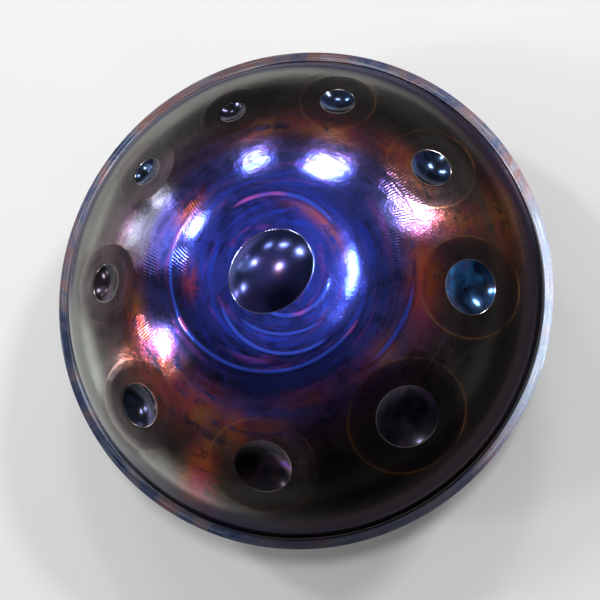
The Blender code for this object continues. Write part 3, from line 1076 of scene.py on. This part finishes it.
def adhesive():
    """Cured dark epoxy, slightly uneven."""
    material = bpy.data.materials.new("adhesive")
    nodes = Nodes(material, "Object")
    color = nodes.ramp(nodes.noise(60.0, 3.0), (
        (0.3, (0.018, 0.018, 0.02)), (0.7, (0.05, 0.048, 0.05))))
    nodes.look("Base Color", color)
    nodes.look("Roughness", nodes.linear(nodes.noise(90.0), 0.3, 0.35))
    nodes.bump(nodes.times(nodes.noise(300.0, 2.0), ADHESIVE_GRAIN))
    return material


# ---------------------------------------- studio

LAMP_DISTANCE = 4.0
LAMP_RADIANCE = 80.0

# Ceiling lamps: direction from +X and elevation in degrees, width, height, share of the radiance
LAMPS = (
    (92, 30, 0.48, 0.22, 1.0),
    (64, 36.5, 0.84, 0.26, 1.0),
    (25, 35.5, 0.80, 0.38, 1.5),
    (127, 41, 0.40, 0.66, 1.0),
    (125, 18, 0.28, 0.44, 0.14),
    (137, 13, 0.52, 0.44, 0.11),
    (136, 27, 1.30, 1.90, 0.022),
    (30, 76.5, 0.54, 0.64, 1.0),
    (174, 31.5, 0.60, 0.40, 0.75),
    (175, 14, 0.50, 0.50, 0.25),
)

FLOOR_RADIUS = 4.0
FLOOR_DROP = 0.3 * MM
FLOOR_FADE = (3.8, 1.4)
ROOM_LEVEL = 0.20
CEILING_GLOW = 0.34
SIDE_GLOW = 1.6
HORIZON_GLOW = 0.15
CORNER_LEVEL = 0.05
ROOM_COLOR = (0.97, 0.98, 1.0, 1.0)


def make_floor():
    """A plain pale floor that fades into the backdrop."""
    bpy.ops.mesh.primitive_circle_add(vertices=128, radius=FLOOR_RADIUS, fill_type="NGON",
                                      location=(0, 0, -FLOOR_DROP))
    floor = bpy.context.object
    floor.name = "floor"
    material = bpy.data.materials.new("floor")
    nodes = Nodes(material, "Object")
    color = nodes.ramp(nodes.noise(3.0, 2.0), (
        (0.3, (0.50, 0.50, 0.50)), (0.7, (0.52, 0.52, 0.52))))
    nodes.look("Base Color", color)
    nodes.look("Alpha", nodes.step(nodes.vector("LENGTH", nodes.place), *FLOOR_FADE))
    nodes.look("Roughness", 0.8)
    floor.data.materials.append(material)


def make_lamp(name, azimuth, elevation, width, height, share):
    """A soft lamp panel in a direction from +X, facing the pan."""
    light = bpy.data.lights.new(name, "AREA")
    light.shape = "ELLIPSE"
    light.size = width
    light.size_y = height
    light.energy = LAMP_RADIANCE * share * math.pi * math.pi * width * height / 4
    lamp = bpy.data.objects.new(name, light)
    direction = direction_vector(azimuth, elevation)
    lamp.location = direction * LAMP_DISTANCE + Vector((0, 0, TOP_Z))
    lamp.rotation_mode = "QUATERNION"
    lamp.rotation_quaternion = direction.to_track_quat("Z", "Y")
    bpy.context.scene.collection.objects.link(lamp)


def make_world():
    """A dim room: a soft ceiling, a low glow on one side and a dark corner opposite."""
    world = bpy.data.worlds.new("room")
    bpy.context.scene.world = world
    nodes = Nodes(world, "Generated")
    height = nodes.vector("DOT_PRODUCT", nodes.place, (0, 0, 1))
    side = nodes.step(nodes.facing(nodes.place, 165), 0.25, 0.92, SIDE_GLOW)
    low_glow = nodes.times(side, nodes.step(height, 0.30, 0.02))
    horizon = nodes.step(height, 0.10, 0.0, HORIZON_GLOW)
    ceiling = nodes.step(nodes.facing(nodes.place, 121, 70), 0.72, 0.98, CEILING_GLOW)
    lit = nodes.plus(nodes.plus(low_glow, ceiling), horizon)
    corner = nodes.facing(nodes.place, -90, 34)
    open_room = nodes.step(corner, 0.975, 0.82, ROOM_LEVEL - CORNER_LEVEL)
    room = nodes.plus(open_room, CORNER_LEVEL)
    patchy = nodes.linear(nodes.noise(2.6, 2.0), 0.9, 0.55)
    background = nodes.tree.nodes["Background"]
    background.inputs["Color"].default_value = ROOM_COLOR
    nodes.feed(background.inputs["Strength"], nodes.times(nodes.plus(lit, room), patchy))


def make_camera():
    """The camera at the photograph's angle."""
    data = bpy.data.cameras.new("camera")
    data.lens = CAMERA_LENS
    data.sensor_width = CAMERA_SENSOR
    data.clip_start = 0.01
    camera = bpy.data.objects.new("camera", data)
    a, e = CAMERA_AZIMUTH, CAMERA_ELEVATION
    back = Vector((math.sin(a) * math.cos(e), -math.cos(a) * math.cos(e), math.sin(e)))
    hint = Vector((math.cos(CAMERA_UP), math.sin(CAMERA_UP), 0))
    right = hint.cross(back).normalized()
    up = back.cross(right)
    turn = Matrix((right, up, back)).transposed().to_4x4()
    camera.matrix_world = Matrix.Translation(CAMERA_TARGET + back * CAMERA_DISTANCE) @ turn
    bpy.context.scene.collection.objects.link(camera)
    bpy.context.scene.camera = camera


def main():
    """Build the pieces and the studio."""
    top = make_top_shell()
    top.data.materials.append(top_steel())
    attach(top, "root")
    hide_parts("top_shell")
    bottom = make_bottom_shell()
    bottom.data.materials.append(bottom_steel())
    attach(bottom, "root")
    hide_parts("bottom_shell")
    bond = frame["nodes"]["flange_adhesive"]
    bond.data.materials.clear()
    bond.data.materials.append(adhesive())
    make_floor()
    make_world()
    for index, lamp in enumerate(LAMPS):
        make_lamp(f"lamp_{index}", *lamp)
    make_camera()
    bpy.context.scene.view_settings.view_transform = "Standard"


main()
